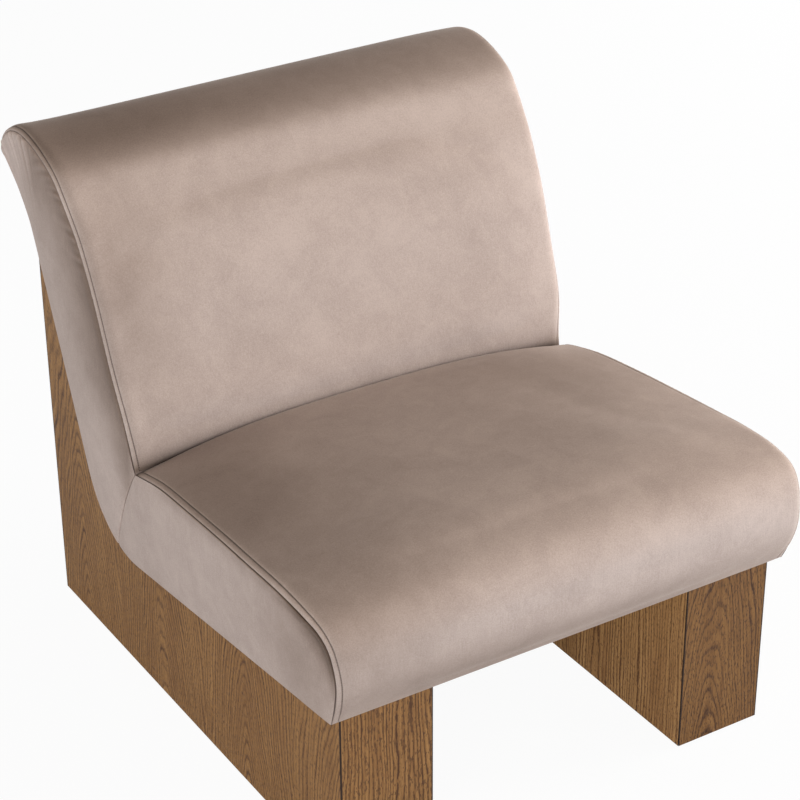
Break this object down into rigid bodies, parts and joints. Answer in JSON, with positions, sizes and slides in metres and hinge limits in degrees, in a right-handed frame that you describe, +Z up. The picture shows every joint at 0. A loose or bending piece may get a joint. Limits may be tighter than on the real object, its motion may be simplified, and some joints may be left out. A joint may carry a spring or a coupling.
{
  "type": "slipper chair",
  "caption": "Armless slipper chair: a crowned seat and a leaning, scrolled back in velvet lie in the cradle of box legs whose tops follow the upholstery.",
  "frame": {"origin": "on the floor, below the middle of the chair's width and of its whole depth", "axes": "+X towards the sitter's left, which is the right of the picture, +Y from the front edge to the back, +Z up; the chair faces -Y"},
  "size_m": [0.7712, 0.9316, 0.8128],
  "materials": {
    "velvet": "taupe short-pile velvet, matt, brighter at grazing angles",
    "oak": "brown oak veneer with cathedral grain, satin lacquer",
    "plywood": "birch plywood, sanded, hidden",
    "hardwood": "beech, sanded, hidden",
    "foam": "polyurethane foam, matt, hidden",
    "fibre": "polyester wadding, matt, hidden",
    "webbing": "elastic webbing, matt, hidden",
    "cloth": "black non-woven dust cloth, matt",
    "steel": "zinc-plated bolts and spring wire, hidden",
    "nylon": "moulded black nylon"
  },
  "bodies": {
    "root": {"leg_left_front_panel": "oak", "leg_left_inner_panel": "oak", "leg_left_rear_panel": "oak", "leg_left_outer_panel": "oak", "seat_board_left": "plywood", "back_board_left": "plywood", "bottom_board_left": "plywood", "glide_left_front": "nylon", "glide_left_rear": "nylon", "leg_bolt_left_front": "steel", "leg_bolt_left_rear": "steel", "leg_bolt_left_back": "steel", "side_frame_left": "plywood", "corner_block_front_left": "hardwood", "corner_block_rear_left": "hardwood", "seat_side_pad_left": "fibre", "seat_side_panel_left": "velvet", "back_side_pad_left": "fibre", "back_side_panel_left": "velvet", "leg_right_front_panel": "oak", "leg_right_inner_panel": "oak", "leg_right_rear_panel": "oak", "leg_right_outer_panel": "oak", "seat_board_right": "plywood", "back_board_right": "plywood", "bottom_board_right": "plywood", "glide_right_front": "nylon", "glide_right_rear": "nylon", "leg_bolt_right_front": "steel", "leg_bolt_right_rear": "steel", "leg_bolt_right_back": "steel", "side_frame_right": "plywood", "corner_block_front_right": "hardwood", "corner_block_rear_right": "hardwood", "seat_side_pad_right": "fibre", "seat_side_panel_right": "velvet", "back_side_pad_right": "fibre", "back_side_panel_right": "velvet", "front_rail": "hardwood", "rear_seat_rail": "hardwood", "lower_back_rail": "hardwood", "middle_back_rail": "hardwood", "top_back_rail": "hardwood", "roll_rail": "hardwood", "seat_spring_1": "steel", "seat_spring_2": "steel", "seat_spring_3": "steel", "seat_spring_4": "steel", "seat_spring_5": "steel", "spring_pad": "fibre", "back_webbing_1": "webbing", "back_webbing_2": "webbing", "back_webbing_3": "webbing", "seat_foam": "foam", "back_foam": "foam", "seat_cover": "velvet", "back_cover": "velvet", "outside_back_cover": "velvet", "dust_cover": "cloth"}
  },
  "joints": []
}
